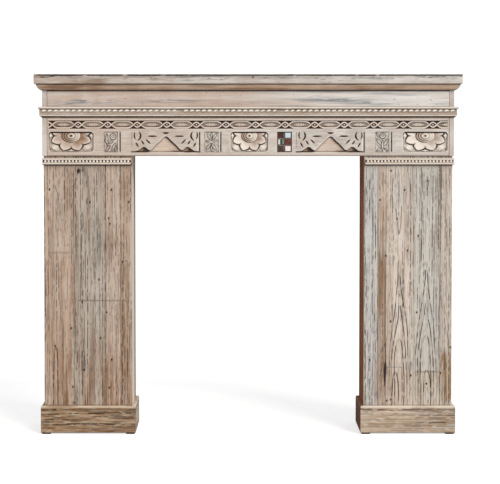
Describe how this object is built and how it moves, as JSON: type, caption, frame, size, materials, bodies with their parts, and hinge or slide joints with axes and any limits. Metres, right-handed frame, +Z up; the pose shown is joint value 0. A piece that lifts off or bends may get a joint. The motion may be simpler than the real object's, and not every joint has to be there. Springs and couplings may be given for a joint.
{
  "type": "wooden fireplace surround",
  "caption": "Free-standing wooden mantel surround with a carved frieze, beaded mouldings and box legs on plinths, in worn whitewashed softwood.",
  "frame": {"origin": "on the floor, under the middle of the shelf's width and depth", "axes": "+X to the right seen from the room, -Y out into the room, +Y to the wall, +Z up"},
  "size_m": [1.49, 0.226, 1.262],
  "materials": {
    "shelf_wood": "worn whitewash",
    "header_wood": "worn whitewash",
    "carved_wood": "worn whitewash over old paint",
    "moulding_wood": "rubbed whitewash",
    "leg_wood": "whitewashed open grain",
    "jamb_wood": "brown stain",
    "plinth_wood": "rubbed whitewash",
    "pad_felt": "dark felt"
  },
  "bodies": {
    "root": {"bed_moulding_front": "moulding_wood", "bed_moulding_left": "moulding_wood", "bed_moulding_right": "moulding_wood", "capital_moulding_left": "moulding_wood", "capital_moulding_right": "moulding_wood", "capital_return_left": "moulding_wood", "capital_return_right": "moulding_wood", "carved_frieze": "carved_wood", "fascia_board": "header_wood", "foot_pad_left_back_east": "pad_felt", "foot_pad_left_back_west": "pad_felt", "foot_pad_left_front_east": "pad_felt", "foot_pad_left_front_west": "pad_felt", "foot_pad_right_back_east": "pad_felt", "foot_pad_right_back_west": "pad_felt", "foot_pad_right_front_east": "pad_felt", "foot_pad_right_front_west": "pad_felt", "header_end_left": "header_wood", "header_end_right": "header_wood", "header_underboard": "header_wood", "leg_front_left": "leg_wood", "leg_front_right": "leg_wood", "leg_inner_left": "jamb_wood", "leg_inner_right": "jamb_wood", "leg_outer_left": "leg_wood", "leg_outer_right": "leg_wood", "mantel_shelf": "shelf_wood", "plinth_front_left": "plinth_wood", "plinth_front_right": "plinth_wood", "plinth_inner_left": "plinth_wood", "plinth_inner_right": "plinth_wood", "plinth_outer_left": "plinth_wood", "plinth_outer_right": "plinth_wood", "shelf_moulding_front": "moulding_wood", "shelf_moulding_left": "moulding_wood", "shelf_moulding_right": "moulding_wood"}
  },
  "joints": []
}
